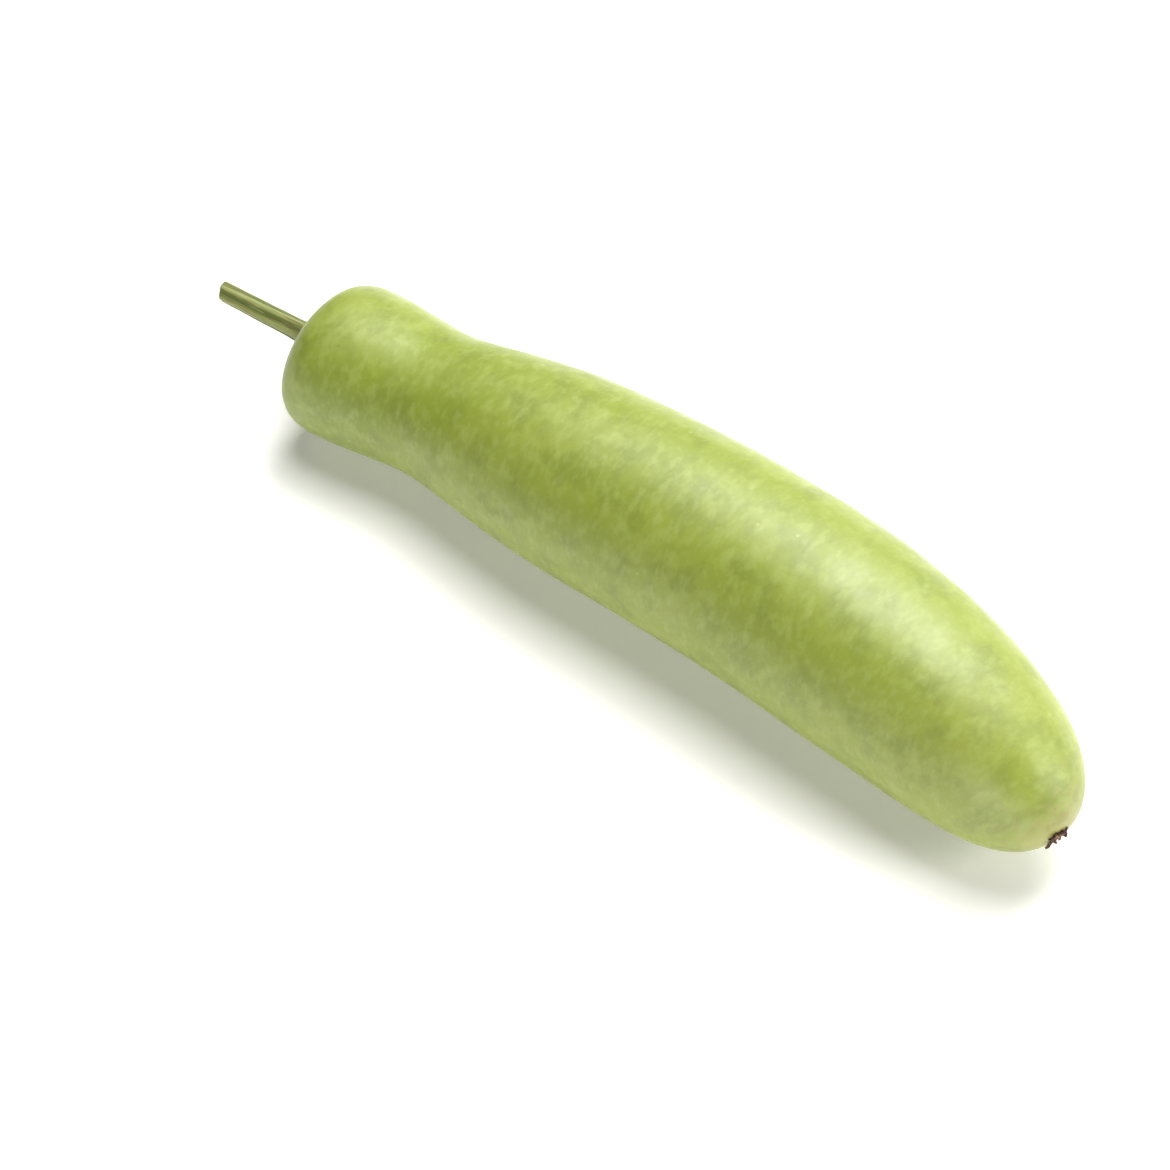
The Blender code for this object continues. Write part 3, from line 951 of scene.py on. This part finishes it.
def dry_material(name, colours, grain):
    """Dead plant tissue: matt, dark and uneven, with paler fibres and edges that catch the light."""
    material, tree, shader = new_material(
        name, {"Roughness": 0.8, "Sheen Weight": 0.2, "Sheen Tint": linear("#d9b894")}
    )
    place = add(tree, "ShaderNodeTexCoord").outputs["Object"]
    field = add(tree, "ShaderNodeTexNoise", {"Vector": place, "Scale": 1 / grain, "Detail": 4.0})
    colour = set_stops(add(tree, "ShaderNodeValToRGB", {0: field}), colours)
    tree.links.new(colour, shader.inputs["Base Color"])
    relief = add(tree, "ShaderNodeBump", {"Height": field, "Distance": grain / 4})
    tree.links.new(relief.outputs[0], shader.inputs["Normal"])
    return material


def paper_material():
    """White paper on a light table: matt, and lit a little from below. The far paper looks brighter to
    the camera, but it gives the gourd no more light than the near paper does."""
    material, tree, shader = new_material(
        "lit_white_paper",
        {
            "Base Color": linear("#f4f3ef"),
            "Roughness": 0.9,
            "Specular IOR Level": 0.2,
            "Emission Color": linear("#ffffff"),
        },
    )
    place = add(tree, "ShaderNodeTexCoord").outputs["Object"]
    away = add(tree, "ShaderNodeVectorMath", {0: place}, operation="LENGTH").outputs["Value"]
    glow = add(
        tree,
        "ShaderNodeMapRange",
        {
            "Value": away,
            "From Min": FLOOR_GLOW_RISES_FROM,
            "From Max": FLOOR_GLOW_FULL_AT,
            "To Min": FLOOR_GLOW_NEAR,
            "To Max": FLOOR_GLOW_FAR,
        },
        interpolation_type="SMOOTHSTEP",
    )
    seen = add(tree, "ShaderNodeLightPath").outputs["Is Camera Ray"]
    glow = add(tree, "ShaderNodeMix", {"Factor": seen, "A": FLOOR_GLOW_NEAR, "B": glow})
    tree.links.new(glow.outputs[0], shader.inputs["Emission Strength"])
    return material


def make_floor():
    """A flat sheet of paper under the gourd."""
    mesh = bpy.data.meshes.new("floor")
    build = bmesh.new()
    bmesh.ops.create_grid(build, x_segments=1, y_segments=1, size=FLOOR_SIZE / 2)
    build.to_mesh(mesh)
    build.free()
    mesh.materials.append(paper_material())
    floor = new_object("floor", mesh)


def add_light(name, towards, away, size, power, colour):
    """A round softbox that shines on the gourd from a direction, with its power in watts."""
    lamp = bpy.data.lights.new(name, "AREA")
    lamp.shape = "DISK"
    lamp.size = size
    lamp.energy = power
    lamp.color = linear(colour)[:3]
    light = new_object(name, lamp)
    direction = Vector(towards).normalized()
    light.location = direction * away
    light.rotation_euler = direction.to_track_quat("Z", "Y").to_euler()
    light.visible_camera = False


def make_light():
    """The softboxes, and a white studio that only the camera sees."""
    for lamp in LAMPS:
        add_light(*lamp)
    world = bpy.data.worlds.new("white_studio")
    bpy.context.scene.world = world
    world.use_nodes = True
    tree = world.node_tree
    seen = add(tree, "ShaderNodeLightPath").outputs["Is Camera Ray"]
    unlit = tree.nodes["Background"]
    unlit.inputs["Strength"].default_value = 0.0
    white = add(tree, "ShaderNodeBackground", {"Color": linear("#ffffff"), "Strength": 1.0})
    wall = add(tree, "ShaderNodeMixShader", {0: seen, 1: unlit, 2: white})
    tree.links.new(wall.outputs[0], tree.nodes["World Output"].inputs["Surface"])


def make_camera():
    """The camera at the photograph's viewing angle."""
    back = Vector(
        (
            math.sin(CAMERA_AZIMUTH) * math.cos(CAMERA_HEIGHT),
            -math.cos(CAMERA_AZIMUTH) * math.cos(CAMERA_HEIGHT),
            math.sin(CAMERA_HEIGHT),
        )
    )
    lens = bpy.data.cameras.new("camera")
    lens.lens = CAMERA_LENS
    lens.sensor_width = CAMERA_SENSOR
    camera = new_object("camera", lens)
    camera.location = CAMERA_TARGET + back * CAMERA_DISTANCE
    camera.rotation_euler = back.to_track_quat("Z", "Y").to_euler()
    bpy.context.scene.camera = camera


make_camera()
make_floor()
make_light()
make_fruit(skin_material())
make_stem(stalk_material(), pith_material())
make_petals(dry_material("withered_petal", WITHERED_PETAL, PETAL_GRAIN))
make_scar_button(dry_material("corky_scar", CORKY_SCAR, SCAR_GRAIN))
bpy.context.scene.view_settings.view_transform = "Standard"
